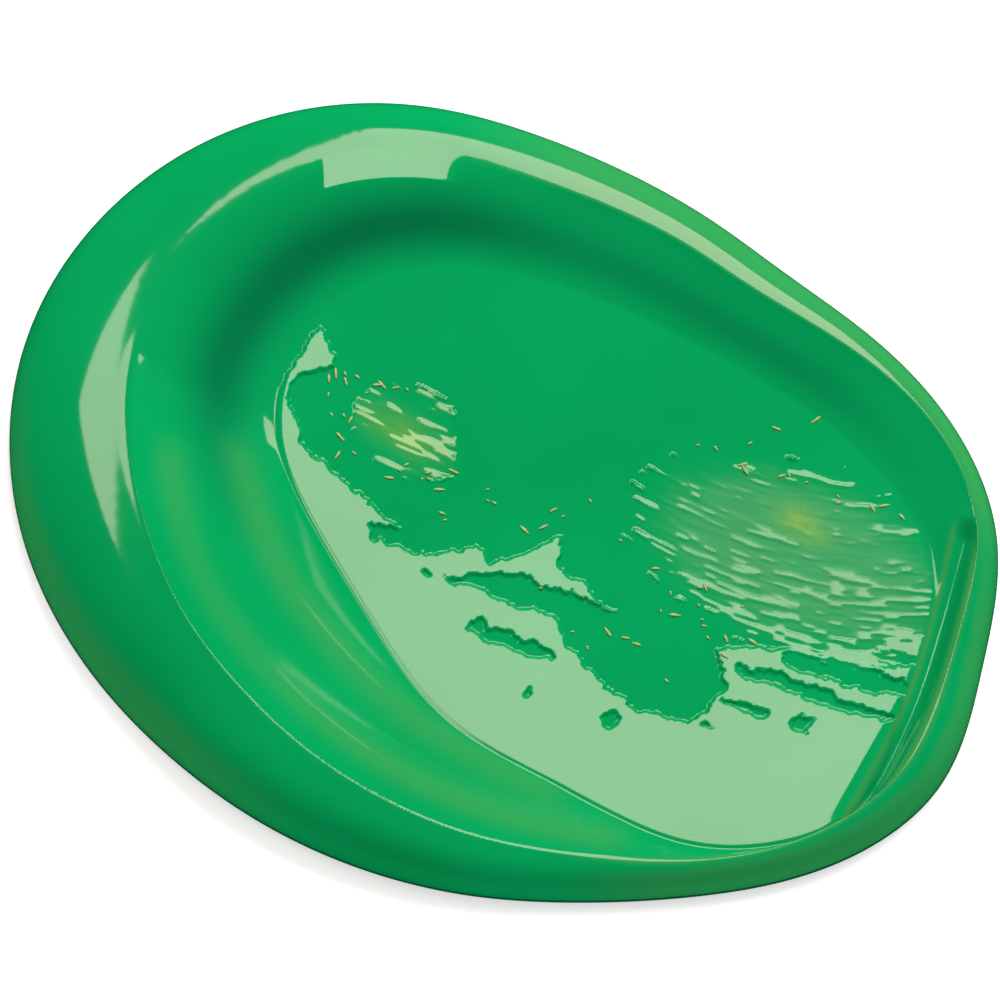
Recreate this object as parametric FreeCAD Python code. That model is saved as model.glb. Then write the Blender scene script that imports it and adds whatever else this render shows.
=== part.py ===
import FreeCAD, Part
import math
import os

V = FreeCAD.Vector
os.makedirs("parts", exist_ok=True)

# ---- overall sizes, mm -------------------------------------------------
smear_length = 44.2        # along X, end to end
smear_depth = 38.4         # along Y, near edge to far edge
drawn_length = 44.2        # the length the plan points below are drawn at
drawn_depth = 38.4         # the depth the plan points below are drawn at
stretch_x = smear_length / drawn_length
stretch_y = smear_depth / drawn_depth

# ---- heights, mm above the ground --------------------------------------
film_height = 0.30         # contact film under everything
floor_height = 0.95        # dish floor
rim_left_height = 3.40     # crest of the rim at the left
rim_top_height = 2.90      # crest at the far left corner
rim_right_height = 2.20    # crest at the right end
rim_near_height = 2.10     # crest at the near edge
lip_height = 0.75          # torn lip where it leaves the rim
lip_drop = 0.30            # fall of the lip from its root to its torn edge

# ---- widths and raises, mm ---------------------------------------------
far_wall_width = 4.6       # plan width of the far inner wall
near_wall_width = 9.5      # plan width of the gentler near slope
shelf_width = 1.3          # strip just inside the left crest
sheet_raise = 0.35         # torn sheet above the floor beside it
band_raise = 0.45          # swirl band crest above the slope
band_half_width = 1.1      # swirl band, crest to edge
band_spread = 1.6          # the band's swell reaches this many half widths
gentle_direction = 45.0    # degrees; the slope is steepest on this side and gentlest opposite
fleck_raise = 0.25         # fleck top above the surface it sits on
fleck_size = 0.50          # half length of a fleck
ridge_raise = 0.18         # drag ridge above the floor
ridge_width = 0.32         # drag ridge, across
ridge_pitch = 0.95         # drag ridge to drag ridge
ridge_count = 7
fold_depth = 0.55          # groove of the end fold below its edges
curl_reach = 2.5           # how far the curl's cell runs out before the lip trims it
fold_half_width = 0.95     # groove of the end fold, middle to edge
end_slope_width = 3.2      # plan width of the slope up to the end fold
roll_roundness = 2.3       # power of the bead's outer curve, 2 is an ellipse
roll_overlap = 0.9         # bead carried past its crest before it is trimmed
grid_pitch = 1.1           # spacing of the surface points
smallest_cell = 0.02       # plan area under which a leftover sliver is dropped, mm2

# ---- plan points, mm ---------------------------------------------------
# Reach of the outer foot from the middle, every 20 degrees counter-clockwise from +X.
rim_reach = [
    22.0, 19.1, 16.9, 16.6, 17.4, 19.4, 21.4, 22.6, 22.8,
    21.9, 20.4, 19.2, 18.7, 18.8, 19.5, 21.4, 23.9, 23.0,
]
# Width of the bead from foot to crest, every 30 degrees counter-clockwise from +X.
bead_width = [1.1, 2.1, 2.4, 3.0, 3.9, 5.1, 5.4, 4.2, 2.9, 1.9, 1.2, 1.3]
rim_start = -80.0          # degrees, where the bead begins at the near edge
rim_sweep = 284.0          # degrees it runs clockwise, to the right end
station_count = 17
roll_split = 10            # station where the far roll takes over

# The torn outer edge closes the outline, from the right end back to the near edge.
torn_start = -9.0          # degrees
torn_sweep = 61.0          # degrees
torn_count = 16
torn_notch = 0.35          # depth of its deepest notches

# The inner edge of the lip, where the curl and the sheet stand on it.
lip_root = [
    (21.2, -3.4), (20.8, -6.8), (19.9, -10.2), (18.6, -13.6),
    (16.6, -16.0), (12.6, -17.4), (7.6, -18.0),
]

# The end fold's leaf: the crest side, then the dish side.
fold_crest_side = [(20.9, -2.6), (20.2, -6.6), (19.0, -10.4), (17.6, -13.9), (15.7, -16.0)]
fold_dish_side = [(20.7, -2.7), (19.2, -7.2), (17.4, -11.6), (15.7, -16.0)]

# The torn sheet: its ragged upper edge, then its smooth lower edge.
sheet_ragged = [
    (-8.0, 8.0), (-7.5, 6.0), (-9.0, 5.0), (-9.0, 2.5), (-7.5, 1.0), (-4.5, -1.0), (-6.0, -2.0), (-3.5, -3.0),
    (-0.5, -3.0), (-2.5, -4.0), (2.0, -6.5), (3.0, -8.0), (5.0, -9.5), (8.0, -11.0), (10.5, -9.5), (18.5, -9.8),
]
# Round its right and near sides it runs under the fold and out past the lip's root.
sheet_tucked = [(18.5, -9.8), (16.6, -15.6), (16.4, -16.8), (12.0, -18.4), (7.4, -18.8), (8.4, -17.2)]
sheet_smooth = [
    (8.4, -17.2), (3.0, -14.5), (-2.5, -11.0), (-6.0, -6.0),
    (-8.5, -1.5), (-10.0, 2.5), (-9.5, 5.5), (-8.0, 8.0),
]

# A line from inside the far wall down the middle of the sheet, parting floor from slope.
sheet_middle = [
    (-12.5, 9.5), (-8.0, 8.0), (-9.4, 5.2), (-9.4, 2.8), (-8.6, 0.6),
    (-6.5, -2.5), (-4.0, -6.0), (0.0, -10.0), (8.0, -14.0), (14.0, -16.0),
]

# The two swirl bands, each along its crest.
outer_band_line = [(-15.0, -0.2), (-14.1, -4.4), (-11.2, -8.8), (-6.6, -12.7), (-1.0, -15.4), (5.4, -16.6)]
inner_band_line = [(-11.4, 0.4), (-9.9, -3.6), (-7.0, -7.8), (-3.3, -11.6), (1.4, -14.4)]

# The inner foot of the far wall, from the left round to the right end.
wall_foot = [
    (-11.6, 4.2), (-10.6, 8.0), (-7.6, 10.6), (-3.0, 11.6), (1.4, 10.9),
    (6.6, 8.8), (12.4, 5.6), (17.2, 0.8), (19.6, -6.8),
]

# Flecks lie in drifts: start x, y, end x, y and how many.
fleck_drifts = [
    (-7.5, 6.5, -7.0, 1.5, 4), (-4.5, 0.0, 5.0, -1.5, 5), (2.0, -5.0, 7.0, -8.5, 3), (10.0, 2.5, 15.0, 3.0, 2),
]
fleck_sway = 0.5           # how far a fleck strays from its drift's line
fleck_slimness = 0.4       # fleck half width over half length

# The fan of drag ridges starts here and runs to the right.
fan_start = (9.6, -2.6)
fan_length = 7.6
fan_angle = -38.0          # degrees, direction of the first ridge
fan_turn = 5.0             # degrees each next ridge turns
fan_shorten = 0.06         # each next ridge is shorter by this share


def place(x, y, z=0.0):
    """A drawn plan point, stretched to the smear's own sizes."""
    return V(x * stretch_x, y * stretch_y, z)


def spline(points, closed=False):
    """An edge through the points."""
    curve = Part.BSplineCurve()
    curve.interpolate(Points=points, PeriodicFlag=closed)
    return curve.toShape()


def segments(points):
    """Straight edges through the points."""
    edges = []
    for start, end in zip(points[:-1], points[1:]):
        edges.append(Part.makeLine(start, end))
    return edges


def face_of(edges):
    """A flat face bounded by the edges, which join end to end."""
    return Part.Face(Part.Wire(Part.__sortEdges__(edges)))


def sampled(points, count):
    """Points spaced along a smooth curve through the given ones."""
    return spline(points).discretize(count)


# ---- the rim as data ---------------------------------------------------
def round_value(values, direction):
    """A value listed at even directions round the middle, smooth in between."""
    count = len(values)
    position = (direction % 360.0) * count / 360.0
    k = int(position) % count
    t = position - int(position)
    a = values[k - 1]
    b = values[k]
    c = values[(k + 1) % count]
    d = values[(k + 2) % count]
    return b + 0.5 * t * (c - a + t * (2 * a - 5 * b + 4 * c - d + t * (3 * (b - c) + d - a)))


def polar(direction, reach):
    """The placed plan point at a direction and distance from the middle."""
    angle = math.radians(direction)
    return place(reach * math.cos(angle), reach * math.sin(angle))


def rim_height(index):
    """Crest height at a station: left, then far corner, then right end."""
    last = station_count - 1
    stops = [
        (0, rim_near_height),
        (5, rim_left_height),
        (roll_split, rim_top_height),
        (last, rim_right_height),
    ]
    for (first, low), (second, high) in zip(stops[:-1], stops[1:]):
        if index <= second:
            part = (index - first) / (second - first)
            return low + (high - low) * part
    return rim_right_height


foot_points = []
crest_points = []
for station in range(station_count):
    bearing = rim_start - rim_sweep * station / (station_count - 1)
    foot_reach = round_value(rim_reach, bearing)
    foot_points.append(polar(bearing, foot_reach))
    crest_points.append(polar(bearing, foot_reach - round_value(bead_width, bearing)))

torn_points = [foot_points[-1]]
for step in range(torn_count):
    bearing = torn_start - torn_sweep * step / (torn_count - 1)
    notch = torn_notch * (step % 3) / 2.0
    torn_points.append(polar(bearing, round_value(rim_reach, bearing) - notch))
torn_points.append(foot_points[0])

rim_curve = spline(crest_points)

crest_samples = []
for step in range(6 * (station_count - 1) + 1):
    whole = step / 6.0
    base = min(int(whole), station_count - 2)
    part = whole - base
    level = rim_height(base) * (1 - part) + rim_height(base + 1) * part
    crest_samples.append(level)
crest_trace = rim_curve.discretize(len(crest_samples))
crest_data = list(zip(crest_trace, crest_samples))

outer_band_trace = sampled([place(x, y) for x, y in outer_band_line], 40)
inner_band_trace = sampled([place(x, y) for x, y in inner_band_line], 40)
fold_crest_trace = sampled([place(x, y) for x, y in fold_crest_side], 40)
fold_dish_trace = sampled([place(x, y) for x, y in fold_dish_side], 40)
fold_trace = [(a + b) * 0.5 for a, b in zip(fold_crest_trace, fold_dish_trace)]


def nearest(x, y, trace):
    """Distance from a plan point to the closest point of a trace."""
    best = 1e9
    for point in trace:
        gap = math.hypot(point.x - x, point.y - y)
        best = min(best, gap)
    return best


def bump(distance, half_width):
    """A smooth hump: 1 on the line, 0 from half_width out."""
    if distance >= half_width:
        return 0.0
    return 0.5 + 0.5 * math.cos(math.pi * distance / half_width)


def surface_height(x, y):
    """Height of the dish surface over a plan point."""
    best = 1e9
    crest = rim_left_height
    for point, level in crest_data:
        gap = math.hypot(point.x - x, point.y - y)
        if gap < best:
            best = gap
            crest = level
    direction = math.atan2(y, x)
    near_share = 0.5 - 0.5 * math.cos(direction - math.radians(gentle_direction))
    width = far_wall_width + (near_wall_width - far_wall_width) * near_share
    wall = bump(best, width)
    height = floor_height + (crest - floor_height) * wall
    height += band_raise * bump(nearest(x, y, outer_band_trace), band_spread * band_half_width)
    height += band_raise * bump(nearest(x, y, inner_band_trace), band_spread * band_half_width)
    end_crest = rim_right_height - floor_height
    end_slope = bump(nearest(x, y, fold_trace), end_slope_width)
    height = max(height, floor_height + end_crest * end_slope)
    height -= fold_depth * bump(nearest(x, y, fold_trace), fold_half_width)
    return height


def height_solid(raise_by):
    """Everything between the film and the dish surface, raised as asked."""
    margin = 3.0
    low_x = -0.5 * smear_length - margin
    low_y = -0.5 * smear_depth - margin
    across = int((smear_length + 2 * margin) / grid_pitch) + 1
    along = int((smear_depth + 2 * margin) / grid_pitch) + 1
    rows = []
    for i in range(across):
        x = low_x + i * grid_pitch
        row = []
        for j in range(along):
            y = low_y + j * grid_pitch
            row.append(V(x, y, surface_height(x, y) + raise_by))
        rows.append(row)
    surface = Part.BSplineSurface()
    surface.interpolate(rows)
    top = surface.toShape()
    drop = V(0, 0, -(rim_left_height + 6.0))
    block = top.extrude(drop)
    size = 4 * max(smear_length, smear_depth)
    keep = Part.makeBox(size, size, 20.0, V(-size / 2, -size / 2, film_height))
    return block.common(keep)


# ---- plan regions ------------------------------------------------------
def whole_plan():
    """The full outline: smooth round the rim, torn at the lower right."""
    return face_of([spline(foot_points)] + segments(torn_points))


def inside_crest():
    """The plan inside the rim's crest and the lip's root."""
    root = [crest_points[-1]]
    root += [place(x, y) for x, y in lip_root]
    root.append(crest_points[0])
    return face_of([rim_curve, spline(root)])


def fold_plan():
    """The leaf-shaped groove at the right end."""
    crest_side = spline([place(x, y) for x, y in fold_crest_side])
    dish_side = spline([place(x, y) for x, y in fold_dish_side])
    start = Part.makeLine(place(*fold_crest_side[0]), place(*fold_dish_side[0]))
    return face_of([crest_side, dish_side, start])


def lip_plan(inner):
    """The torn skirt between the torn edge and the lip's root."""
    root = segments([crest_points[-1], V(0, 0, 0), crest_points[0]])
    close = segments([crest_points[0], foot_points[0]])
    top = segments([foot_points[-1], crest_points[-1]])
    return face_of(segments(torn_points) + close + root + top).cut(inner)


def curl_plan():
    """The narrow strip between the fold and the lip."""
    inside = [place(x, y) for x, y in fold_crest_side]
    outside = [point + V(curl_reach, -curl_reach, 0) for point in inside]
    outside.reverse()
    edges = [spline(inside)]
    edges += segments([inside[-1]] + outside + [inside[0]])
    return face_of(edges)


def sheet_plan():
    """The torn sheet, ragged above and smooth below."""
    ragged = segments([place(x, y) for x, y in sheet_ragged])
    tucked = segments([place(x, y) for x, y in sheet_tucked])
    smooth = spline([place(x, y) for x, y in sheet_smooth])
    return face_of(ragged + tucked + [smooth])


def slope_plan():
    """Everything on the near side of a line down the middle of the sheet."""
    line = [place(x, y) for x, y in sheet_middle]
    corner = V(-smear_length, -smear_depth, 0)
    line += [V(line[-1].x, corner.y, 0), corner, V(corner.x, line[0].y, 0), line[0]]
    return face_of(segments(line))


def strip_plan(line, half_width):
    """A strip of one width along a line, tapering to its ends."""
    trace = sampled([V(x, y, 0) for x, y in line], 40)
    left = []
    right = []
    last = len(trace) - 1
    for i in range(0, last + 1, 3):
        before = trace[max(i - 1, 0)]
        after = trace[min(i + 1, last)]
        along = V(after.x - before.x, after.y - before.y, 0)
        along.normalize()
        side = V(-along.y, along.x, 0)
        taper = math.sin(math.pi * (0.06 + 0.88 * i / last))
        out = side * (half_width * taper ** 0.5)
        left.append(place(trace[i].x + out.x, trace[i].y + out.y))
        right.append(place(trace[i].x - out.x, trace[i].y - out.y))
    right.reverse()
    edges = [spline(left), Part.makeLine(left[-1], right[0])]
    edges += [spline(right), Part.makeLine(right[-1], left[0])]
    return face_of(edges)


def wall_plan():
    """The ring between the far crest and the wall's foot."""
    foot = spline([place(x, y) for x, y in wall_foot])
    start = place(*wall_foot[0])
    end = place(*wall_foot[-1])
    far = V(smear_length, smear_depth, 0)
    back = [end, V(far.x, end.y, 0), far, V(-far.x, far.y, 0), V(-far.x, start.y, 0), start]
    return face_of([foot] + segments(back))


def shelf_plan():
    """The strip just inside the left crest."""
    shifted = []
    for i in range(2, 8):
        crest = crest_points[i]
        centre = V(0, 0, 0)
        inward = centre - crest
        inward.normalize()
        shifted.append(crest + inward * shelf_width)
    outer = [crest_points[i] + (crest_points[i] * 0.2) for i in range(7, 1, -1)]
    edges = [spline(shifted), Part.makeLine(shifted[-1], outer[0])]
    edges += segments(outer)
    edges.append(Part.makeLine(outer[-1], shifted[0]))
    return face_of(edges)


def sliver(centre, turn, near, far, half_width):
    """A pointed diamond about a drawn point, along a direction in degrees."""
    angle = math.radians(turn)
    run = V(math.cos(angle), math.sin(angle), 0)
    side = V(-run.y, run.x, 0)
    middle = run * (0.5 * (near + far))
    corners = [run * far, middle + side * half_width, run * near, middle - side * half_width]
    corners = [place(centre.x + c.x, centre.y + c.y) for c in corners]
    return face_of(segments(corners + [corners[0]]))


def ridge_plans():
    """The fan of fine slivers on the right of the dish."""
    plans = []
    for i in range(ridge_count):
        start = V(fan_start[0], fan_start[1], 0) + V(1.35, 1.0, 0) * (0.5 * ridge_pitch * i)
        length = fan_length * (1.0 - fan_shorten * i)
        plans.append(sliver(start, fan_angle + fan_turn * i, 0.0, length, 0.5 * ridge_width))
    return plans


def fleck_plans():
    """Flecks along their drifts, each strayed and turned a little differently."""
    plans = []
    for x1, y1, x2, y2, count in fleck_drifts:
        heading = math.degrees(math.atan2(y2 - y1, x2 - x1))
        for i in range(count):
            share = (i + 0.5) / count
            stray = fleck_sway * math.sin(5.0 * i + x1)
            centre = V(x1 + (x2 - x1) * share, y1 + (y2 - y1) * share + stray, 0)
            turn = heading + 40.0 * math.sin(3.0 * i + y1)
            plans.append(sliver(centre, turn, -fleck_size, fleck_size, fleck_slimness * fleck_size))
    return plans


# ---- solids ------------------------------------------------------------
def roll_section(index):
    """The bead's upright section at a station, from foot to past the crest."""
    foot = foot_points[index]
    crest = crest_points[index]
    inward = crest - foot
    reach = inward.Length
    inward.normalize()
    top = rim_height(index)
    rise = top - film_height
    curve_points = []
    for share in (0.0, 0.02, 0.08, 0.2, 0.4, 0.7, 1.0):
        level = (1.0 - (1.0 - share) ** roll_roundness) ** (1.0 / roll_roundness)
        spot = foot + inward * (reach * share)
        curve_points.append(V(spot.x, spot.y, film_height + rise * level))
    beyond = crest + inward * roll_overlap
    high = V(beyond.x, beyond.y, top)
    low = V(beyond.x, beyond.y, film_height)
    base = V(foot.x, foot.y, film_height)
    edges = [spline(curve_points), Part.makeLine(curve_points[-1], high)]
    edges += [Part.makeLine(high, low), Part.makeLine(low, base)]
    return Part.Wire(edges)


def rolls(inner_block):
    """The bead, trimmed back to the crest and parted at the split station."""
    sections = [roll_section(i) for i in range(station_count)]
    bead = Part.makeLoft(sections, True, False).cut(inner_block)
    foot = foot_points[roll_split]
    inward = crest_points[roll_split] - foot
    inward.normalize()
    onward = V(-inward.y, inward.x, 0)
    size = 2 * max(smear_length, smear_depth)
    corners = [foot - inward * size, foot + inward * size]
    corners += [corners[1] + onward * size, corners[0] + onward * size]
    far_side = face_of(segments(corners + [corners[0]])).extrude(V(0, 0, size))
    return bead.cut(far_side), bead.common(far_side)


def block_over(plan):
    """A tall upright block over a plan, from the film up."""
    tall = rim_left_height + 6.0
    return plan.extrude(V(0, 0, tall)).translate(V(0, 0, film_height))


def cell(region, body):
    """The part of a surface body that stands over a plan region."""
    pieces = []
    for face in region.Faces:
        if face.Area > smallest_cell:
            pieces.append(block_over(face).common(body))
    return Part.makeCompound(pieces)


def lip_solid(plan):
    """The torn skirt: a slab that falls towards its torn edge."""
    low = lip_height - lip_drop
    slab = plan.extrude(V(0, 0, lip_height - film_height))
    slab.translate(V(0, 0, film_height))
    tilt_centre = V(0, 0, 0)
    size = 4 * max(smear_length, smear_depth)
    wedge = Part.makeBox(size, size, 5.0, V(-size / 2, -size / 2, 0))
    reach = 0.5 * math.hypot(smear_length, smear_depth)
    fall = math.degrees(math.atan2(lip_height - low, 0.35 * reach))
    wedge.rotate(tilt_centre, V(0.6, 0.8, 0).cross(V(0, 0, 1)), fall)
    wedge.translate(V(14.0 * stretch_x, -13.0 * stretch_y, lip_height))
    return slab.cut(wedge)


def write(name, shape):
    solids = [s for s in shape.Solids if s.Volume > 1e-3]
    shape = solids[0] if len(solids) == 1 else Part.makeCompound(solids)
    shape.exportStep("parts/" + name + ".step")
    box = shape.BoundBox
    print(name, len(solids), "valid" if shape.isValid() else "NOT VALID", round(shape.Volume, 3),
          [round(v, 2) for v in (box.XMin, box.YMin, box.ZMin, box.XMax, box.YMax, box.ZMax)])


plan = whole_plan()
inner = inside_crest()
inner_tall = block_over(inner)

write("contact_film", plan.extrude(V(0, 0, film_height)))
outer_roll, far_roll = rolls(inner_tall)
write("outer_roll", outer_roll)
write("far_roll", far_roll)

# Plan cells: each later one takes what the earlier ones leave.
lip = lip_plan(inner)
fold = fold_plan().common(inner)
curl = inner.common(curl_plan()).cut(fold)
free = inner.cut(fold).cut(curl)
crumbs = free.common(Part.makeCompound(fleck_plans()))
free = free.cut(crumbs)
ridges = free.common(Part.makeCompound(ridge_plans()))
free = free.cut(ridges)
sheet = free.common(sheet_plan())
free = free.cut(sheet)
inner_band = free.common(strip_plan(inner_band_line, band_half_width))
free = free.cut(inner_band)
outer_band = free.common(strip_plan(outer_band_line, band_half_width))
free = free.cut(outer_band)
shelf = free.common(shelf_plan())
free = free.cut(shelf)
wall = free.common(wall_plan())
free = free.cut(wall)
slope = free.common(slope_plan())
floor = free.cut(slope)

surface = height_solid(0.0)
raised_sheet = height_solid(sheet_raise)
raised_ridge = height_solid(ridge_raise)
raised_fleck = height_solid(fleck_raise)

write("near_shelf", cell(shelf, surface))
write("far_wall", cell(wall, surface))
write("outer_swirl_band", cell(outer_band, surface))
write("inner_swirl_band", cell(inner_band, surface))
write("dish_floor", cell(floor, surface))
write("near_slope", cell(slope, surface))
write("torn_sheet", cell(sheet, raised_sheet))
write("drag_ridges", cell(ridges, raised_ridge))
write("end_fold", cell(fold, surface))
write("end_curl", cell(curl, surface))
write("torn_lip", lip_solid(lip))
write("flecks", cell(crumbs, raised_fleck))
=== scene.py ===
import bpy
import math
import numpy as np
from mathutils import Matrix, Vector


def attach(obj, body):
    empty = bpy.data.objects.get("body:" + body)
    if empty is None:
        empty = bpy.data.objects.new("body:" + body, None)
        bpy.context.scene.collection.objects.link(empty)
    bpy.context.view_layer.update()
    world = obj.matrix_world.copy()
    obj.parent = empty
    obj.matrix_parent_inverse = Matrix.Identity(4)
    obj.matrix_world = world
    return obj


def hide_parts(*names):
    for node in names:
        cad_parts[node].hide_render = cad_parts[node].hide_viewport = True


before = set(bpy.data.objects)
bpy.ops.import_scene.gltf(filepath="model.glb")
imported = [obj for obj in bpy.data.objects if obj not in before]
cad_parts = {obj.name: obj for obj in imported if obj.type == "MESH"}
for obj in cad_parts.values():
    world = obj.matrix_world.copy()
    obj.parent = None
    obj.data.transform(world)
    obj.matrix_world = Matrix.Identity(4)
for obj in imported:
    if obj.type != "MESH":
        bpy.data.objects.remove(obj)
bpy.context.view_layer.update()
MM = 0.001

# ---------------------------------------------------------------- plan curves, mm
# Reach of the outer foot from the middle, every 20 degrees counter-clockwise from +X.
RIM_REACH = [
    22.0, 19.1, 16.9, 16.6, 17.4, 19.4, 21.4, 22.6, 22.8,
    21.9, 20.4, 19.2, 18.7, 18.8, 19.5, 21.4, 23.9, 23.0,
]
# Width of the bead from foot to crest, and the crest's height, every 30 degrees.
BEAD_WIDTH = [1.0, 2.0, 2.4, 3.1, 4.0, 5.0, 5.4, 4.2, 3.0, 1.9, 1.1, 1.5]
CREST_HEIGHT = [2.25, 2.5, 2.6, 2.75, 3.05, 3.35, 3.4, 3.15, 2.75, 2.1, 1.75, 2.1]
STATIONS = 24
# The foot of the slopes, round the dish bottom, clockwise from the near side.
DISH = [
    (8.5, -17.0), (3.0, -14.5), (-2.5, -11.0), (-6.0, -6.0), (-8.5, -1.5), (-10.0, 2.5),
    (-9.5, 6.5), (-6.5, 10.0), (-2.0, 11.0), (4.0, 9.5), (11.0, 5.8), (16.5, 1.5),
    (19.3, -4.0), (18.0, -10.0), (15.5, -15.5), (12.0, -17.0),
]
# Middle lines of the two swirl bands and of the leaf-shaped fold at the right end.
OUTER_BAND = [(-15.0, 0.4), (-14.0, -4.2), (-11.4, -8.4), (-7.4, -12.0), (-2.4, -14.9), (4.0, -16.7)]
INNER_BAND = [(-11.6, 1.0), (-10.0, -3.6), (-7.2, -7.8), (-3.4, -11.4), (1.4, -14.2)]
FOLD = [(20.8, -2.6), (19.8, -6.9), (18.4, -11.0), (16.8, -14.2), (15.8, -16.0)]

PITCH = 0.07  # spacing of the skin's points
COARSE = 0.25  # spacing of the distance fields
CURVE_STEP = 0.05  # spacing of the points along a curve
CHUNK = 4000  # grid points handled at once
EDGE = 1.6  # extra strip of the grid that becomes the bead's steep outer side
FILM = 0.28  # height of the contact film, where the skin's walls end

# ---------------------------------------------------------------- relief, mm
FLOOR_LEVEL = 0.95
OUTER_BAND_HEIGHT, OUTER_BAND_HALF = 0.22, 0.85
INNER_BAND_HEIGHT, INNER_BAND_HALF = 0.2, 0.75
FOLD_DEPTH, FOLD_HALF = 0.4, 0.42
CREASE_HEIGHT, CREASE_HALF = 0.03, 0.16
SHEET_THICKNESS, SHEET_THINNING = 0.11, 0.085
RAGGED, FRAYED = 0.42, 0.05  # how far the sheet's border wanders, and its finest jitter

# ---------------------------------------------------------------- paint colours, linear
GREEN, CLOUDED_GREEN = (0.0010, 0.296, 0.080), (0.0014, 0.326, 0.093)
# painted shade: the darker green laid on the far inner wall where it faces away from the light
SHADED_GREEN = (0.0012, 0.13, 0.05)
# painted light: the paler green laid on lit slopes, crests and edges
PAINTED_LIGHT_GREEN = (0.038, 0.30, 0.072)
YELLOW_GREEN = (0.19, 0.40, 0.035)
# painted glint: the pale cream colour of the flecks
FLECK_GLINT_COLOUR = (0.34, 0.46, 0.16, 1)


def cubic(points, closed, step):
    """Even samples along a C2 cubic spline through the points."""
    p = np.array(points, float)
    if closed:
        p = np.vstack([p[-4:], p, p[:5]])
    d = np.hypot(*(p[1:, :2] - p[:-1, :2]).T)
    t = np.concatenate([[0], np.cumsum(d)])
    n = len(p)
    a = np.zeros((n, n))
    b = np.zeros((n, p.shape[1]))
    a[0, 0] = a[-1, -1] = 1
    for i in range(1, n - 1):
        a[i, i - 1] = d[i - 1]
        a[i, i] = 2 * (d[i - 1] + d[i])
        a[i, i + 1] = d[i]
        b[i] = 6 * ((p[i + 1] - p[i]) / d[i] - (p[i] - p[i - 1]) / d[i - 1])
    m = np.linalg.solve(a, b)
    t0, t1 = (t[4], t[-5]) if closed else (t[0], t[-1])
    count = max(8, int((t1 - t0) / step))
    q = np.linspace(t0, t1, count, endpoint=not closed)
    k = np.clip(np.searchsorted(t, q, side="right") - 1, 0, n - 2)
    h = d[k][:, None]
    u = (q - t[k])[:, None]
    w = h - u
    bent = (m[k] * w**3 + m[k + 1] * u**3) / (6 * h)
    return bent + (p[k] / h - m[k] * h / 6) * w + (p[k + 1] / h - m[k + 1] * h / 6) * u


# ---------------------------------------------------------------- coarse fields
X0, Y0 = -26.0, -23.0
CX = np.arange(X0, 26.01, COARSE)
CY = np.arange(Y0, 23.01, COARSE)
GX, GY = np.meshgrid(CX, CY)


def near_field(curve, closed):
    """Coarse fields of a curve: the signed distance, positive to the right of travel, then for
    an open curve how far a point lies beyond its ends, then the curve's further columns."""
    xy = curve[:, :2]
    if closed:
        tangent = np.roll(xy, -1, 0) - np.roll(xy, 1, 0)
    else:
        tangent = np.gradient(xy, axis=0)
    tangent /= np.hypot(*tangent.T)[:, None]
    right = np.stack([tangent[:, 1], -tangent[:, 0]], 1)
    px, py = GX.ravel(), GY.ravel()
    best = np.zeros(px.size, int)
    for lo in range(0, px.size, CHUNK):
        dx = px[lo:lo + CHUNK, None] - xy[None, :, 0]
        dy = py[lo:lo + CHUNK, None] - xy[None, :, 1]
        best[lo:lo + CHUNK] = np.argmin(dx * dx + dy * dy, 1)
    off = np.stack([px, py], 1) - xy[best]
    out = [(off * right[best]).sum(1).reshape(GX.shape)]
    if not closed:
        along = (off * tangent[best]).sum(1)
        ends = (best == 0) | (best == len(xy) - 1)
        out.append(np.where(ends, np.abs(along), 0.0).reshape(GX.shape))
    for column in range(2, curve.shape[1]):
        out.append(curve[best, column].reshape(GX.shape))
    return out


def cubic_weights(f):
    return (
        ((-0.5 * f + 1.0) * f - 0.5) * f,
        (1.5 * f - 2.5) * f * f + 1.0,
        ((-1.5 * f + 2.0) * f + 0.5) * f,
        (0.5 * f - 0.5) * f * f,
    )


def sample(field, x, y):
    """Catmull-Rom sampling of a coarse field anywhere."""
    fx = np.clip((x - X0) / COARSE, 1, field.shape[1] - 3.001)
    fy = np.clip((y - Y0) / COARSE, 1, field.shape[0] - 3.001)
    ix, iy = fx.astype(int), fy.astype(int)
    wx, wy = cubic_weights(fx - ix), cubic_weights(fy - iy)
    total = 0
    for j in range(4):
        row = 0
        for i in range(4):
            row = row + wx[i] * field[iy + j - 1, ix + i - 1]
        total = total + wy[j] * row
    return total


# ---------------------------------------------------------------- noise
def lattice(ix, iy, seed):
    h = (ix * 374761393 + iy * 668265263 + seed * 974634777) & 0xFFFFFFFF
    h = ((h ^ (h >> 13)) * 1274126177) & 0xFFFFFFFF
    return ((h ^ (h >> 16)) & 0xFFFF) / 65535.0


def noise(x, y, seed=0):
    """Smooth value noise from -1 to 1."""
    ix, iy = np.floor(x).astype(np.int64), np.floor(y).astype(np.int64)
    fx, fy = x - ix, y - iy
    ux, uy = fx**3 * (fx * (fx * 6 - 15) + 10), fy**3 * (fy * (fy * 6 - 15) + 10)
    a, b = lattice(ix, iy, seed), lattice(ix + 1, iy, seed)
    c, d = lattice(ix, iy + 1, seed), lattice(ix + 1, iy + 1, seed)
    return 2 * ((a + (b - a) * ux) + ((c + (d - c) * ux) - (a + (b - a) * ux)) * uy) - 1


def fbm(x, y, seed=0, octaves=4, gain=0.5):
    total, size, norm = 0, 1.0, 0
    for k in range(octaves):
        total = total + size * noise(x * 2**k + 17.3 * k, y * 2**k - 9.1 * k, seed + k)
        norm += size
        size *= gain
    return total / norm


def smooth(lo, hi, v):
    """0 at lo and 1 at hi, with level ends."""
    t = np.clip((v - lo) / (hi - lo), 0, 1)
    return t * t * (3 - 2 * t)


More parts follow.
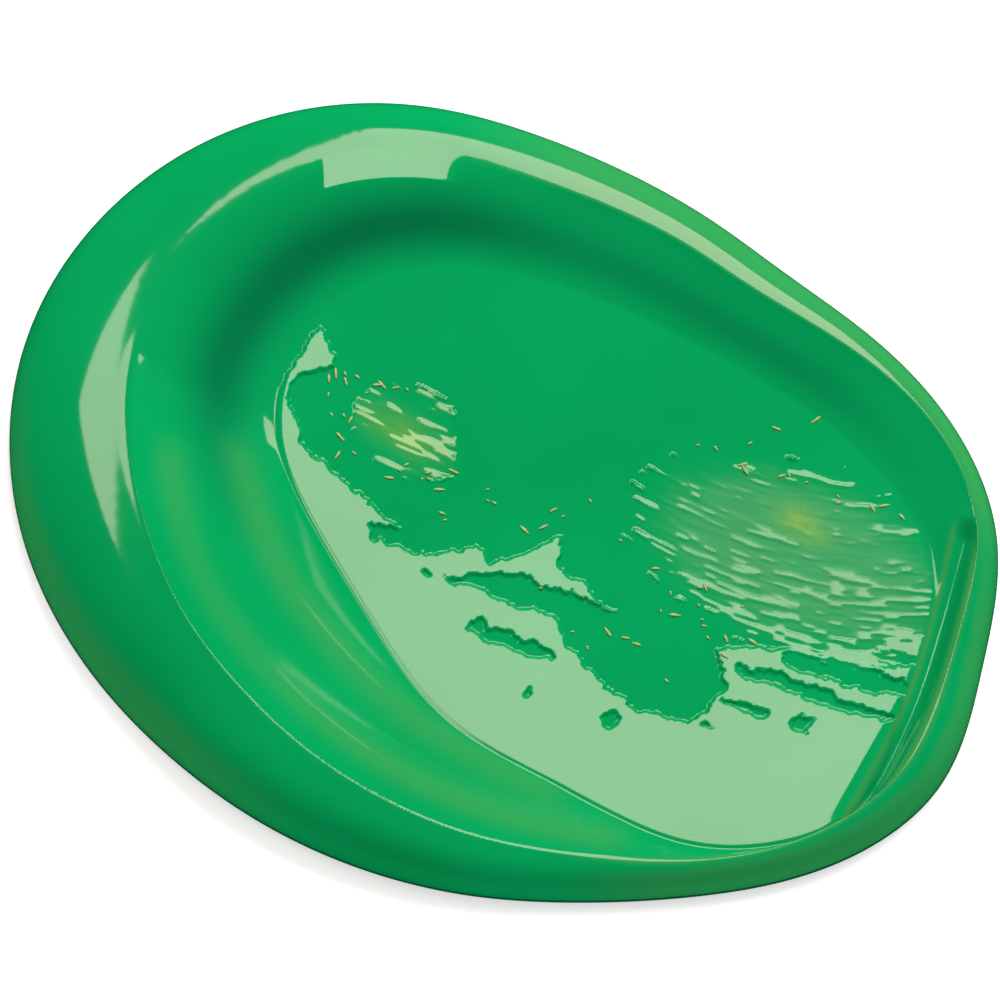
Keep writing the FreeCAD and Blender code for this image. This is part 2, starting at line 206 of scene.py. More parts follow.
# ---------------------------------------------------------------- polygons
def polygon_distance(points, x, y):
    """Distance to a closed polygon's border, positive inside."""
    p = np.array(points, float)
    q = np.roll(p, -1, 0)
    best = np.full(x.shape, 1e9)
    inside = np.zeros(x.shape, bool)
    for (ax, ay), (bx, by) in zip(p, q):
        ex, ey = bx - ax, by - ay
        t = np.clip(((x - ax) * ex + (y - ay) * ey) / (ex * ex + ey * ey), 0, 1)
        best = np.minimum(best, (x - ax - t * ex) ** 2 + (y - ay - t * ey) ** 2)
        cross = (ay > y) != (by > y)
        inside ^= cross & (x < ex * (y - ay) / (ey if ey else 1e-9) + ax)
    return np.where(inside, 1, -1) * np.sqrt(best)


def round_value(values, direction):
    """A value listed at even directions round the middle, smooth in between."""
    count = len(values)
    position = (direction % 360.0) * count / 360.0
    k = int(position) % count
    t = position - int(position)
    a, b, c, d = values[k - 1], values[k], values[(k + 1) % count], values[(k + 2) % count]
    return b + 0.5 * t * (c - a + t * (2 * a - 5 * b + 4 * c - d + t * (3 * (b - c) + d - a)))


# foot x, y, crest x, y and crest height, clockwise from the near edge
LOOP = []
for station in range(STATIONS):
    bearing = -80.0 - 360.0 * station / STATIONS
    reach = round_value(RIM_REACH, bearing)
    inner_reach = reach - round_value(BEAD_WIDTH, bearing)
    cos_b, sin_b = math.cos(math.radians(bearing)), math.sin(math.radians(bearing))
    level = round_value(CREST_HEIGHT, bearing)
    LOOP.append((reach * cos_b, reach * sin_b, inner_reach * cos_b, inner_reach * sin_b, level))
FOOT = [(a, b) for a, b, c, d, h in LOOP]
CREST = [(c, d, h) for a, b, c, d, h in LOOP]
F_foot = near_field(cubic(FOOT, True, CURVE_STEP), True)[0]
F_crest, F_top = near_field(cubic(CREST, True, CURVE_STEP), True)
F_dish = near_field(cubic(DISH, True, CURVE_STEP), True)[0]
F_outer, F_outer_end = near_field(cubic(OUTER_BAND, False, CURVE_STEP), False)
F_inner, F_inner_end = near_field(cubic(INNER_BAND, False, CURVE_STEP), False)
F_fold, F_fold_end = near_field(cubic(FOLD, False, CURVE_STEP), False)

# ---------------------------------------------------------------- the parameter grid
xs = np.arange(-25.0, 25.0, PITCH)
ys = np.arange(-22.0, 22.0, PITCH)
PX, PY = np.meshgrid(xs, ys)


def outer_gap(x, y):
    """Distance in from the grid's own outer border, about EDGE beyond the foot."""
    return sample(F_foot, x, y) + edge_width(x, y)


def lip_share(x, y):
    """1 along the torn lip at the lower right, 0 elsewhere."""
    along = np.arctan2(y + 1.0, x)
    return smooth(-0.02, -0.25, along) * smooth(-1.45, -1.15, along)


def edge_width(x, y):
    """How far the grid reaches beyond the foot, uneven along the torn lip."""
    torn = fbm(x * 0.8, y * 0.8, 71, 2)
    return EDGE * (1.0 + lip_share(x, y) * (0.3 * torn - 0.25))


gap = outer_gap(PX, PY)
inside = gap >= 0
cell_any = inside[:-1, :-1] | inside[1:, :-1] | inside[:-1, 1:] | inside[1:, 1:]
used = np.zeros(inside.shape, bool)
used[:-1, :-1] |= cell_any
used[1:, :-1] |= cell_any
used[:-1, 1:] |= cell_any
used[1:, 1:] |= cell_any
snap = used & ~inside
sx, sy = PX[snap], PY[snap]
for _ in range(4):
    g = outer_gap(sx, sy)
    gx = (outer_gap(sx + 0.01, sy) - g) / 0.01
    gy = (outer_gap(sx, sy + 0.01) - g) / 0.01
    size = gx * gx + gy * gy
    sx, sy = sx - g * gx / size, sy - g * gy / size
PX[snap], PY[snap] = sx, sy

# ---------------------------------------------------------------- the bead
foot_d = sample(F_foot, PX, PY)
crest_d = sample(F_crest, PX, PY)
dish_d = sample(F_dish, PX, PY)
crest_z = sample(F_top, PX, PY)
edge = edge_width(PX, PY)
lip = lip_share(PX, PY)
width = np.maximum(foot_d - crest_d, 0.2)
t = np.clip((foot_d + edge) / np.maximum(foot_d + edge - crest_d, 1e-6), 0, 1)
# the bead's section is a superellipse, squarer at the near left
bearings = np.degrees(np.arctan2(PY, PX))
power = 2.15 + 0.7 * smooth(-75, -100, bearings) * smooth(-150, -130, bearings)
lean = 1 - np.abs(np.cos(t * math.pi / 2)) ** (2 / power)
rise = np.abs(np.sin(t * math.pi / 2)) ** (2 / power)
shift = np.where(crest_d < 0, width * lean - foot_d, 0.0)
nx = sample(F_foot, PX + 0.05, PY) - sample(F_foot, PX - 0.05, PY)
ny = sample(F_foot, PX, PY + 0.05) - sample(F_foot, PX, PY - 0.05)
size = np.hypot(nx, ny) + 1e-9
nx, ny = nx / size, ny / size
x = PX + nx * shift
y = PY + ny * shift
z_bead = FILM + (crest_z - FILM) * rise

# ---------------------------------------------------------------- the dish
def soft_plus(v, r):
    """The positive part of v, rounded over a reach of r."""
    return 0.5 * (v + np.sqrt(v * v + r * r))


def bottom_height(x, y):
    """The dish bottom: a shallow valley running down to the right."""
    across = 0.58 * x + 0.81 * y
    return FLOOR_LEVEL + 0.045 * soft_plus(across + 3, 3) + 0.07 * soft_plus(-across - 4, 3)


# The lying skin of the torn sheet: its torn border from the upper left to the right end,
# then closed beyond the near side of the dish. The raggedness comes from noise, below.
SHEET = [
    (-8.0, 8.0), (-7.5, 6.0), (-8.5, 6.0), (-9.5, 5.5), (-9.0, 2.5), (-7.0, 0.5), (-4.5, -1.5),
    (-6.0, -1.5), (-5.0, -2.5), (-3.5, -3.0), (-1.0, -2.5), (-0.5, -3.5), (1.0, -3.0),
    (2.5, -2.0), (2.5, -3.5), (5.0, -5.5), (1.0, -4.0), (-2.5, -4.0), (0.5, -5.5), (2.5, -6.0),
    (3.0, -7.5), (6.0, -10.5), (8.5, -11.0), (10.0, -9.5), (9.5, -7.5), (15.0, -7.5),
    (21.0, -7.0), (26.0, -12.0), (20.0, -24.0), (-24.0, -20.0), (-24.0, 0.0), (-11.0, 2.0),
    (-10.0, 5.5),
]
# Wedges torn out of the sheet: start x, y, end x, y and half width.
TEARS = [
    (-1.5, -6.5, 2.5, -8.0, 0.35), (10.5, -8.5, 17.5, -11.0, 0.32), (12.5, -8.0, 18.5, -9.5, 0.6),
    (16.0, -7.5, 19.5, -8.5, 0.22), (10.0, -10.0, 12.0, -10.5, 0.16),
]
# Pinholes are strung along this line, which follows the sheet's torn border.
PINHOLE_TRAIL = [(-8.5, 6.0), (-6.5, -1.0), (2.0, -10.0), (15.5, -11.5)]
PINHOLES = 10
# Worn places as ovals: middle x, y, half length, half width and turn in degrees.
FAN = (13.5, -3.2, 8.2, 4.4, -22.0)
PATCH = (-4.0, 3.0, 2.9, 2.2, -35.0)
PATCH_CUT = -2.0  # x where the patch ends in a straight cut
SPOT = (13.5, -1.5)  # middle of the yellow spot in the fan
CORE = (-4.5, 3.0)  # middle of the yellow-green core of the patch
BLOCK_LEFT = -8.0  # x of the sharp left end of the reflection at the top left


def wedge_distance(x1, y1, x2, y2, half, px, py):
    """Distance into a wedge that is pointed at both ends, negative outside."""
    ex, ey = x2 - x1, y2 - y1
    length = math.hypot(ex, ey)
    along = ((px - x1) * ex + (py - y1) * ey) / length**2
    across = ((py - y1) * ex - (px - x1) * ey) / length
    taper = np.sqrt(np.clip(np.sin(math.pi * np.clip(along, 0, 1)), 0, 1))
    return half * taper - np.abs(across) - length * np.maximum(np.maximum(-along, along - 1), 0)


def oval_distance(cx, cy, a, b, degrees, px, py):
    """Roughly the distance into a turned oval, negative outside."""
    turn = math.radians(degrees)
    u = (px - cx) * math.cos(turn) + (py - cy) * math.sin(turn)
    v = (py - cy) * math.cos(turn) - (px - cx) * math.sin(turn)
    return (1 - np.hypot(u / a, v / b)) * min(a, b)


wx = x + RAGGED * fbm(x * 0.9, y * 0.9, 5, 4, 0.6) + FRAYED * fbm(x * 6, y * 6, 6, 2)
wy = y + RAGGED * fbm(x * 0.9, y * 0.9, 9, 4, 0.6) + FRAYED * fbm(x * 6, y * 6, 10, 2)
sheet_d = polygon_distance(SHEET, wx, wy)
for tear in TEARS:
    sheet_d = np.minimum(sheet_d, -wedge_distance(*tear, wx, wy))
for hole in range(PINHOLES):
    where = (hole + 0.5) / PINHOLES * (len(PINHOLE_TRAIL) - 1)
    leg = int(where)
    (ax, ay), (bx, by) = PINHOLE_TRAIL[leg], PINHOLE_TRAIL[leg + 1]
    hx = ax + (bx - ax) * (where - leg) + 0.5 * math.sin(7 * hole)
    hy = ay + (by - ay) * (where - leg) + 0.5 * math.cos(5 * hole)
    hole_size = 0.2 + 0.12 * math.sin(3 * hole)
    sheet_d = np.minimum(sheet_d, -oval_distance(hx, hy, 1.6 * hole_size, hole_size, 40.0 * hole, wx, wy))
# the fan where the floor is dragged dry, and the thin patch on the left with its clean cut side
fan_d = oval_distance(*FAN, x + 0.3 * fbm(x, y, 41, 3), y + 0.3 * fbm(x, y, 43, 3))
patch_d = oval_distance(*PATCH, x + 0.25 * fbm(x * 2, y * 2, 45, 3), y)
patch_d = np.minimum(patch_d, PATCH_CUT - x)
# streaks fan out from a point up and to the left, and level off towards the right
turn = np.clip((x - 6.0) / 14.0, 0, 1)
bend = -(y + 0.62 * (x - 6.0) * (1 - 0.55 * turn) - 3.0)
streak = fbm(x * 0.45, bend * 3.1, 51, 2, 0.7)
grain = fbm(x * 1.6, bend * 5.6, 53, 1)
low_part = smooth(1.5, -8.5, y + 0.12 * (x - 13))
fan_in = smooth(-0.3, 0.9, fan_d)
fan_cover = fan_in * (-0.12 + 0.6 * low_part)
fan_streaks = (0.55 * streak + 0.45 * grain + 0.9 * (fan_cover - 0.55) + 0.06) * 0.3
along_patch = fbm(x * 0.9 + y * 0.4, (y + 0.45 * x) * 2.6, 57, 2, 0.7)
sheet_d = np.maximum(sheet_d, np.where(fan_in > 0.02, fan_streaks, -1))
sheet_d = np.maximum(sheet_d, np.where(patch_d > 0, (along_patch - 0.3) * 0.25, -1))
in_dish = smooth(-0.15, 0.2, dish_d)
sheet_m = smooth(-0.06, 0.06, sheet_d)
bottom = bottom_height(x, y)
t2 = np.clip(crest_d / np.maximum(crest_d - dish_d, 1e-6), 0, 1)
around = np.degrees(np.arctan2(y, x))
far_right = smooth(100, 70, around) * smooth(-12, 0, around)
near_side = smooth(-0.5, -4.5, 0.45 * x + y) * smooth(16, 9, x)
crisp = np.maximum(far_right, 0.8 * near_side)
soft_fall = np.cos(t2 * math.pi / 2) ** 2
crisp_fall = (1 - t2) ** 1.25
fall = soft_fall + (crisp_fall - soft_fall) * crisp
z_low = bottom + (crest_z - bottom) * fall
outer_d = sample(F_outer, x, y)
inner_d = sample(F_inner, x, y)
outer_band = np.exp(-(outer_d / OUTER_BAND_HALF) ** 2) * smooth(2.5, 0, sample(F_outer_end, x, y))
inner_band = np.exp(-(inner_d / INNER_BAND_HALF) ** 2) * smooth(2.5, 0, sample(F_inner_end, x, y))
bands = OUTER_BAND_HEIGHT * outer_band + INNER_BAND_HEIGHT * inner_band
z_low = z_low + bands * smooth(0.02, 0.3, t2)
# the groove of the fold, in a leaf that widens towards the near side
fold_d = np.abs(sample(F_fold, x, y))
fold_open = smooth(1.2, 0.0, sample(F_fold_end, x, y)) * (crest_d > 0)
leaf_half = 0.75 + 0.55 * smooth(-5, -13, y)
leaf = fold_open * smooth(leaf_half, leaf_half - 0.2, fold_d)
z_low = z_low - FOLD_DEPTH * fold_open * np.exp(-(fold_d / FOLD_HALF) ** 2)
# a fine raised crease along the crest
lift = smooth(150, 165, around) + smooth(-60, -100, around) + 0.5 * far_right
crease = CREASE_HEIGHT * lift * np.exp(-(crest_d / CREASE_HALF) ** 2)
thick = SHEET_THICKNESS - SHEET_THINNING * smooth(-0.4, 0.4, np.maximum(fan_d, patch_d))
detail = thick * sheet_m * in_dish + 0.012 * fan_in * streak * in_dish
z_low = np.where(crest_d < 0, z_bead, z_low) + crease
z = z_low + np.where(crest_d < 0, 0, detail)


# ---------------------------------------------------------------- normals of the whole skin
def skin_normals(z):
    """The skin's points at these heights, and its unit normals."""
    p = np.stack([x, y, z], 2)
    n = np.cross(np.gradient(p, axis=1), np.gradient(p, axis=0))
    return p, n / (np.linalg.norm(n, axis=2)[:, :, None] + 1e-12)


def unit(v):
    return v / np.linalg.norm(v, axis=2)[:, :, None]


def slopes(n):
    """Rise along x and along y of a surface with these normals."""
    return -n[:, :, 0] / np.maximum(n[:, :, 2], 0.05), -n[:, :, 1] / np.maximum(n[:, :, 2], 0.05)


P, N = skin_normals(z)
N_skin = N.copy()
_, N_low = skin_normals(z_low)
sx_all, sy_all = slopes(N)
sx_low, sy_low = slopes(N_low)
# the low, broad tilt of the wet film: the sheet lies towards the window, the floor away from it
soft_m = smooth(-0.03, 0.03, sheet_d)
want_x = -0.04 + 0.01 * soft_m
want_y = 0.03 - 0.17 * soft_m
hold = smooth(-0.12, 0.16, dish_d) * (1 - leaf)
tx = sx_all - sx_low + sx_low * (1 - hold) + want_x * hold
ty = sy_all - sy_low + sy_low * (1 - hold) + want_y * hold
N_dish = unit(np.stack([-tx, -ty, np.ones_like(tx)], 2))
N = np.where((hold > 0)[:, :, None], N_dish, N)
# a lean towards the window in one block of the far bead, with a sharp left end
block = smooth(BLOCK_LEFT - 0.06, BLOCK_LEFT + 0.06, x) * smooth(-1.5, -3.0, x) * (y > 8)
block = block * smooth(-0.3, -0.15, crest_d + 0.12) * smooth(1.15, 1.0, crest_d)
N_block = np.stack([0.05 + 0 * x, 0.17 + 0 * x, 1 + 0 * x], 2)
N = unit(N * (1 - block[:, :, None]) + N_block * block[:, :, None])
# the near slope leans a little further over than its height alone says, so it stays out of the window
slope_w = (near_side * smooth(0.05, 0.3, crest_d) * (1 - hold))[:, :, None]
N_slope = np.stack([0.25 - 0.5 * sx_low, 0.52 - 0.4 * sy_low, np.ones_like(tx)], 2)
N = unit(N * (1 - slope_w) + N_slope * slope_w)

# ---------------------------------------------------------------- paint tints, painted light and painted shade, carried per vertex
spot_along = (x - SPOT[0]) * 0.8 - (y - SPOT[1]) * 0.6
spot_across = (y - SPOT[1]) * 0.8 + (x - SPOT[0]) * 0.6
spot = np.exp(-(spot_along / 1.25) ** 2 - (spot_across / 0.7) ** 2)
spot = spot * (0.75 + 0.5 * fbm(x * 3, y * 3, 61, 4))
core = np.exp(-((x - CORE[0]) / 1.6) ** 2 - ((y - CORE[1] + 0.45 * (x - CORE[0])) / 0.9) ** 2)
core = core * (0.7 + 0.6 * along_patch) * smooth(-0.1, 0.2, patch_d)
yellow = np.clip(0.8 * spot + 0.55 * core + 0.15 * smooth(0, 0.3, patch_d) * sheet_m, 0, 1)
# painted light: the swirl bands are made lighter where they face the light
painted_light = np.clip(0.6 * outer_band + 0.55 * inner_band, 0, 1)
painted_light = painted_light * smooth(0.05, 0.3, t2) * (crest_d > 0) * smooth(0.1, -0.15, dish_d)
# painted light: a paler rim along the lower-left outer edge
left_edge_painted_light = smooth(1.6, 0.2, foot_d) * smooth(8, -2, y) * smooth(-8, -16, x)
# painted highlight: bright lines along the fold's crest and along the crease of the torn lip
fold_highlight = fold_open * np.exp(-((fold_d - 0.62) / 0.13) ** 2) + lip * np.exp(-(crest_d / CREASE_HALF) ** 2)
fan_light = 0.5 * smooth(-0.2, 3.2, fan_d) * (0.45 + 0.55 * low_part) * (1 + 0.8 * streak) * in_dish
# painted light: the far bead's outer side is made lighter where it faces the light, and the dragged fan is
# made paler
painted_light = painted_light + fan_light + 0.7 * far_right * (crest_d < 0) + 0.5 * left_edge_painted_light
# painted highlight from the fold and crease lines, and painted reflection: a paler strip on the torn lip's
# outer side
painted_light = np.clip(painted_light + 0.9 * fold_highlight + 0.5 * lip * smooth(0.9, 0.4, foot_d), 0, 1)
# painted shade: a darker band down the middle of the far inner wall, where it faces away from the light
painted_shade = np.exp(-((t2 - 0.6) / 0.22) ** 2) * smooth(21, 12, x) * (crest_d > 0) * smooth(0.1, -0.2, dish_d)
painted_shade = 0.75 * painted_shade * (0.55 + 0.45 * smooth(3, -6, x)) * smooth(-5, 7, y + 0.35 * np.maximum(x, 0))
rough = np.clip(0.8 * smooth(-0.2, 2.5, fan_d) * in_dish * (1 - 0.6 * soft_m), 0, 1)

# ---------------------------------------------------------------- which cells belong to which piece
def mid(a):
    """A grid's values at the middles of its cells."""
    return 0.25 * (a[:-1, :-1] + a[1:, :-1] + a[:-1, 1:] + a[1:, 1:])


mx, my = mid(PX), mid(PY)
mc, md = mid(crest_d), mid(dish_d)
angle = np.degrees(np.arctan2(my, mx))
end_zone = (mx > 14.5) & (my < -2.6)
bead = mc < 0
label = np.full(mx.shape, "dish_floor", dtype=object)
label[(md < 0) & ~end_zone] = "far_wall"
near = (md < 0) & (my < 4.2) & (mx < 15) & ~((mx > 0) & (my > -10))
label[near] = "near_slope"
label[near & (np.abs(mid(outer_d)) < 1.0) & (mid(t2) > 0.05)] = "outer_swirl_band"
label[near & (np.abs(mid(inner_d)) < 0.9) & (mid(t2) > 0.05)] = "inner_swirl_band"
label[near & (mc < 1.2) & (mx < -5)] = "near_shelf"
label[(md >= 0) & (mid(sheet_d) > 0)] = "torn_sheet"
label[(md < 0) & end_zone] = "end_fold"
dragged = (md >= 0) & (mid(sheet_d) <= 0) & (mx > 6.3) & (my < 2.0) & (my > -9.6)
label[dragged & (mx - 6.3 + 0.5 * my > -2)] = "drag_ridges"
label[bead] = "outer_roll"
label[bead & (angle > -4) & (angle < 99)] = "far_roll"
low_right = bead & (angle <= -4) & (angle > -80)
label[low_right] = "torn_lip"
label[low_right & (mc > -0.55) & (mx > 15)] = "end_curl"
NODES = ["outer_roll", "far_roll", "near_shelf", "far_wall", "outer_swirl_band", "inner_swirl_band",
         "dish_floor", "near_slope", "torn_sheet", "drag_ridges", "end_fold", "end_curl", "torn_lip"]
number = {name: i for i, name in enumerate(NODES)}
code = np.vectorize(number.get)(label)
code[~cell_any] = -1


def make_piece(name, material):
    """A closed mesh: the skin over the piece's cells, walls round them and a flat bottom."""
    rows, cols = np.nonzero(code == number[name])
    wide = PX.shape[1]
    a = rows * wide + cols
    quads = np.stack([a, a + 1, a + wide + 1, a + wide], 1)
    ids, quads = np.unique(quads, return_inverse=True)
    quads = quads.reshape(-1, 4)
    count = len(ids)
    top = P.reshape(-1, 3)[ids]
    low = top.copy()
    low[:, 2] = FILM
    flip = quads[:, ::-1] + count
    edges = np.concatenate([quads[:, [0, 1]], quads[:, [1, 2]], quads[:, [2, 3]], quads[:, [3, 0]]])
    key = edges[:, 0] * count + edges[:, 1]
    back = edges[:, 1] * count + edges[:, 0]
    rim = edges[~np.isin(key, back)]
    walls = np.stack([rim[:, 1], rim[:, 0], rim[:, 0] + count, rim[:, 1] + count], 1)
    verts = np.concatenate([top, low]) * MM
    faces = np.concatenate([quads, flip, walls])
    mesh = bpy.data.meshes.new(name)
    mesh.vertices.add(len(verts))
    mesh.vertices.foreach_set("co", verts.astype(np.float32).ravel())
    mesh.loops.add(faces.size)
    mesh.loops.foreach_set("vertex_index", faces.astype(np.int32).ravel())
    mesh.polygons.add(len(faces))
    mesh.polygons.foreach_set("loop_start", np.arange(0, faces.size, 4, dtype=np.int32))
    mesh.update(calc_edges=True)
    mesh.polygons.foreach_set("use_smooth", np.ones(len(faces), bool))
    normals = np.zeros((faces.size, 3), np.float32)
    normals[:quads.size] = N.reshape(-1, 3)[ids][quads.ravel()]
    normals[quads.size:2 * quads.size] = (0, 0, -1)
    mesh.normals_split_custom_set(normals)
    # per-vertex colour: the paint's own yellow, painted light, roughness and painted shade
    tint_with_painted_light = mesh.attributes.new("tint_with_painted_light", "FLOAT_COLOR", "POINT")
    values = np.stack([yellow, painted_light, rough, painted_shade], 2).reshape(-1, 4)[ids]
    tint_with_painted_light.data.foreach_set("color", np.concatenate([values, values]).astype(np.float32).ravel())
    obj = bpy.data.objects.new("paint_" + name, mesh)
    bpy.context.scene.collection.objects.link(obj)
    mesh.materials.append(material)
    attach(obj, "root")
    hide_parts(name)
    mesh.validate()


def paint_material(name):
    """Glossy paint; the vertex colours hold yellow, painted light, roughness and painted shade."""
    mat = bpy.data.materials.new(name)
    mat.use_nodes = True
    nodes, links = mat.node_tree.nodes, mat.node_tree.links
    shader = nodes["Principled BSDF"]
    tint_with_painted_light = nodes.new("ShaderNodeAttribute")
    tint_with_painted_light.attribute_name = "tint_with_painted_light"
    parts = nodes.new("ShaderNodeSeparateColor")
    links.new(tint_with_painted_light.outputs["Color"], parts.inputs["Color"])
    place = nodes.new("ShaderNodeTexCoord")
    cloud = nodes.new("ShaderNodeTexNoise")
    cloud.inputs["Scale"].default_value = 90
    cloud.inputs["Detail"].default_value = 5
    links.new(place.outputs["Object"], cloud.inputs["Vector"])
    cloudy = nodes.new("ShaderNodeMapRange")
    cloudy.inputs["From Min"].default_value = 0.35
    cloudy.inputs["From Max"].default_value = 0.65
    links.new(cloud.outputs["Fac"], cloudy.inputs["Value"])

    def mix(first, second, amount):
        node = nodes.new("ShaderNodeMix")
        node.data_type = "RGBA"
        for socket, value in ((6, first), (7, second)):
            if isinstance(value, tuple):
                node.inputs[socket].default_value = (*value, 1)
            else:
                links.new(value, node.inputs[socket])
        links.new(amount, node.inputs[0])
        return node.outputs[2]

    base = mix(GREEN, CLOUDED_GREEN, cloudy.outputs["Result"])
    # painted shade, then painted light, go over the base green; the yellow is the paint's own
    base = mix(base, SHADED_GREEN, tint_with_painted_light.outputs["Alpha"])
    base = mix(base, PAINTED_LIGHT_GREEN, parts.outputs["Green"])
    base = mix(base, YELLOW_GREEN, parts.outputs["Red"])
    links.new(base, shader.inputs["Base Color"])
    gloss = nodes.new("ShaderNodeMapRange")
    gloss.inputs["To Min"].default_value = 0.07
    gloss.inputs["To Max"].default_value = 0.5
    links.new(parts.outputs["Blue"], gloss.inputs["Value"])
    links.new(gloss.outputs["Result"], shader.inputs["Roughness"])
    shader.inputs["IOR"].default_value = 1.5
    return mat


paint = paint_material("wet paint")
for name in NODES:
    make_piece(name, paint)

# the contact film: the foot outline, straight down to the ground
loop = cubic(FOOT, True, 0.15)
count = len(loop)
verts = [(px * MM, py * MM, FILM * MM) for px, py in loop]
verts += [(px * MM, py * MM, 0.0) for px, py in loop]
faces = [list(range(count))[::-1], [count + i for i in range(count)]]
for i in range(count):
    j = (i + 1) % count
    faces.append([i, j, count + j, count + i])
mesh = bpy.data.meshes.new("contact_film")
mesh.from_pydata(verts, [], faces)
film = bpy.data.objects.new("paint_contact_film", mesh)
bpy.context.scene.collection.objects.link(film)
mesh.materials.append(paint)
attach(film, "root")
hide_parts("contact_film")

# Flecks lie in drifts: start x, y, end x, y, how many and how far they stray.
FLECK_DRIFTS = [
    (-7.5, 6.5, -7.0, 1.5, 13, 0.45), (-6.5, 5.8, -4.0, 4.8, 5, 0.15), (-4.5, 0.0, 5.0, -1.5, 13, 0.9),
    (2.0, -5.0, 7.0, -8.5, 8, 0.9), (7.5, -4.5, 10.5, -7.0, 14, 1.1), (8.5, 2.3, 18.5, -1.5, 12, 0.25),
    (10.0, 2.5, 15.0, 3.0, 3, 0.5), (-4.8, 1.2, -2.3, 0.8, 6, 0.3),
]


def fleck_items():
    """x, y, length and direction of every fleck, varied along each drift by sines."""
    items = []
    for x1, y1, x2, y2, count, stray in FLECK_DRIFTS:
        heading = math.degrees(math.atan2(y2 - y1, x2 - x1))
        for i in range(count):
            share = (i + 0.5 + 0.3 * math.sin(9.0 * i + y1)) / count
            px = x1 + (x2 - x1) * share + stray * math.sin(4.0 * i + y2)
            py = y1 + (y2 - y1) * share + stray * math.sin(5.0 * i + x1)
            length = 0.22 + 0.5 * math.sin(2.7 * i + x2) ** 4
            items.append((px, py, length, heading + 40.0 * math.sin(3.0 * i + y1)))
    return items


def height_at(px, py):
    """Height and tilt of the finished skin under a plan point."""
    near = np.argmin((x - px) ** 2 + (y - py) ** 2)
    return z.ravel()[near], N_skin.reshape(-1, 3)[near]


def fleck_mesh(name, items, material):
    """One mesh of small closed grains lying on the skin."""
    verts, faces = [], []
    rings, around_count = 6, 10
    for k, (px, py, length, direction) in enumerate(items):
        level, up = height_at(px, py)
        a = math.radians(direction)
        up = Vector(up)
        run = Vector((math.cos(a), math.sin(a), 0))
        run = (run - up * run.dot(up)).normalized()
        side = up.cross(run)
        half = (0.4 * length, 0.035 + 0.035 * length, 0.035)
        base = len(verts)
        middle = Vector((px, py, level)) + up * 0.02
        verts.append(middle - run * half[0])
        for i in range(1, rings):
            along = -math.cos(math.pi * i / rings)
            ring = math.sin(math.pi * i / rings)
            for j in range(around_count):
                b = 2 * math.pi * j / around_count
                wobble = 1 + 0.5 * math.sin(2.3 * i + 1.7 * j + k)
                point = middle + run * (along * half[0])
                point = point + side * (ring * half[1] * math.cos(b) * wobble)
                verts.append(point + up * (ring * half[2] * math.sin(b)))
        verts.append(middle + run * half[0])
        last = len(verts) - 1
        for j in range(around_count):
            n = (j + 1) % around_count
            faces.append([base, base + 1 + n, base + 1 + j])
            for i in range(rings - 2):
                p0 = base + 1 + i * around_count
                p1 = p0 + around_count
                faces.append([p0 + j, p0 + n, p1 + n, p1 + j])
            faces.append([last, last - around_count + j, last - around_count + n])
    mesh = bpy.data.meshes.new(name)
    mesh.from_pydata([v * MM for v in verts], [], faces)
    for polygon in mesh.polygons:
        polygon.use_smooth = True
    mesh.materials.append(material)
    obj = bpy.data.objects.new("paint_" + name, mesh)
    bpy.context.scene.collection.objects.link(obj)
    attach(obj, "root")
    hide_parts(name)


# painted glint: the small grains are real bumps, and their pale cream colour stands for the highlight they
# catch
fleck_glint_paint = bpy.data.materials.new("fleck paint")
fleck_glint_paint.use_nodes = True
fleck_glint_paint.node_tree.nodes["Principled BSDF"].inputs["Base Color"].default_value = FLECK_GLINT_COLOUR
fleck_glint_paint.node_tree.nodes["Principled BSDF"].inputs["Roughness"].default_value = 0.25
fleck_mesh("flecks", fleck_items(), fleck_glint_paint)

# ---------------------------------------------------------------- floor, light and camera
LAMP_DISTANCE = 0.9
CAMERA_DISTANCE = 0.9
CAMERA_ELEVATION = 68

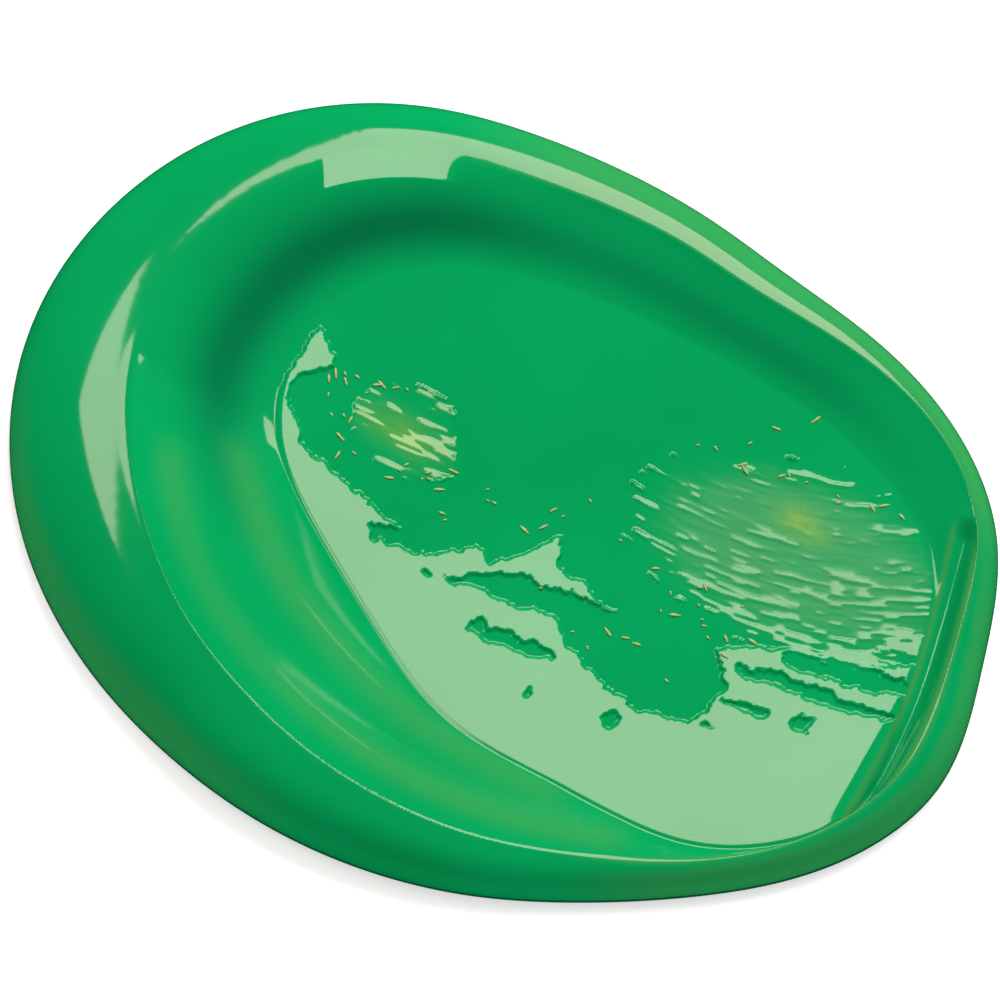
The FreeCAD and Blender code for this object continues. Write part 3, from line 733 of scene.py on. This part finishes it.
floor_mesh = bpy.data.meshes.new("floor")
floor_mesh.from_pydata([(-3, -3, 0), (3, -3, 0), (3, 3, 0), (-3, 3, 0)], [], [(0, 1, 2, 3)])
floor = bpy.data.objects.new("floor", floor_mesh)
bpy.context.scene.collection.objects.link(floor)
pale = bpy.data.materials.new("pale ground")
pale.use_nodes = True
ground = pale.node_tree.nodes["Principled BSDF"].inputs
ground["Base Color"].default_value = (0.9, 0.9, 0.9, 1)
ground["Roughness"].default_value = 0.9
ground["Specular IOR Level"].default_value = 0.0
ground["Emission Color"].default_value = (1, 1, 1, 1)
ground["Emission Strength"].default_value = 0.45
floor_mesh.materials.append(pale)
floor.visible_glossy = False

world = bpy.data.worlds.new("studio")
bpy.context.scene.world = world
world.use_nodes = True
world.node_tree.nodes["Background"].inputs["Color"].default_value = (1, 1, 1, 1)
world.node_tree.nodes["Background"].inputs["Strength"].default_value = 0.45
world.cycles_visibility.glossy = False


def softbox(name, azimuth, elevation, wide, high, radiance):
    """A rectangular lamp facing the paint; azimuth 0 is behind it, positive to the right."""
    lamp = bpy.data.lights.new(name, "AREA")
    lamp.shape = "RECTANGLE"
    lamp.size, lamp.size_y = wide, high
    lamp.energy = radiance * math.pi * wide * high
    obj = bpy.data.objects.new(name, lamp)
    a, e = math.radians(azimuth), math.radians(elevation)
    toward = Vector((math.sin(a) * math.cos(e), math.cos(a) * math.cos(e), math.sin(e)))
    obj.location = toward * LAMP_DISTANCE
    obj.rotation_euler = toward.to_track_quat("Z", "Y").to_euler()
    obj.visible_camera = False
    bpy.context.scene.collection.objects.link(obj)
    return obj


key = softbox("key window", azimuth=12, elevation=48, wide=0.33, high=0.42, radiance=6.8)
key.data.color = (1.0, 0.74, 0.72)
left = softbox("left window", azimuth=-34, elevation=62, wide=0.25, high=0.22, radiance=6.4)
left.data.color = (1.0, 0.78, 0.75)
fill = softbox("high fill", azimuth=30, elevation=40, wide=0.6, high=0.6, radiance=6.0)
fill.visible_glossy = False

cam = bpy.data.cameras.new("camera")
cam.lens = 720
cam.sensor_width = 36
cam.clip_start, cam.clip_end = 0.01, 20
eye = bpy.data.objects.new("camera", cam)
bpy.context.scene.collection.objects.link(eye)
tilt = math.radians(CAMERA_ELEVATION)
target = Vector((-0.045, 0.19, 0.0)) * MM
eye.location = target + Vector((0, -math.cos(tilt), math.sin(tilt))) * CAMERA_DISTANCE
eye.rotation_euler = (math.pi / 2 - tilt, 0, 0)
bpy.context.scene.camera = eye
bpy.context.scene.view_settings.view_transform = "Standard"
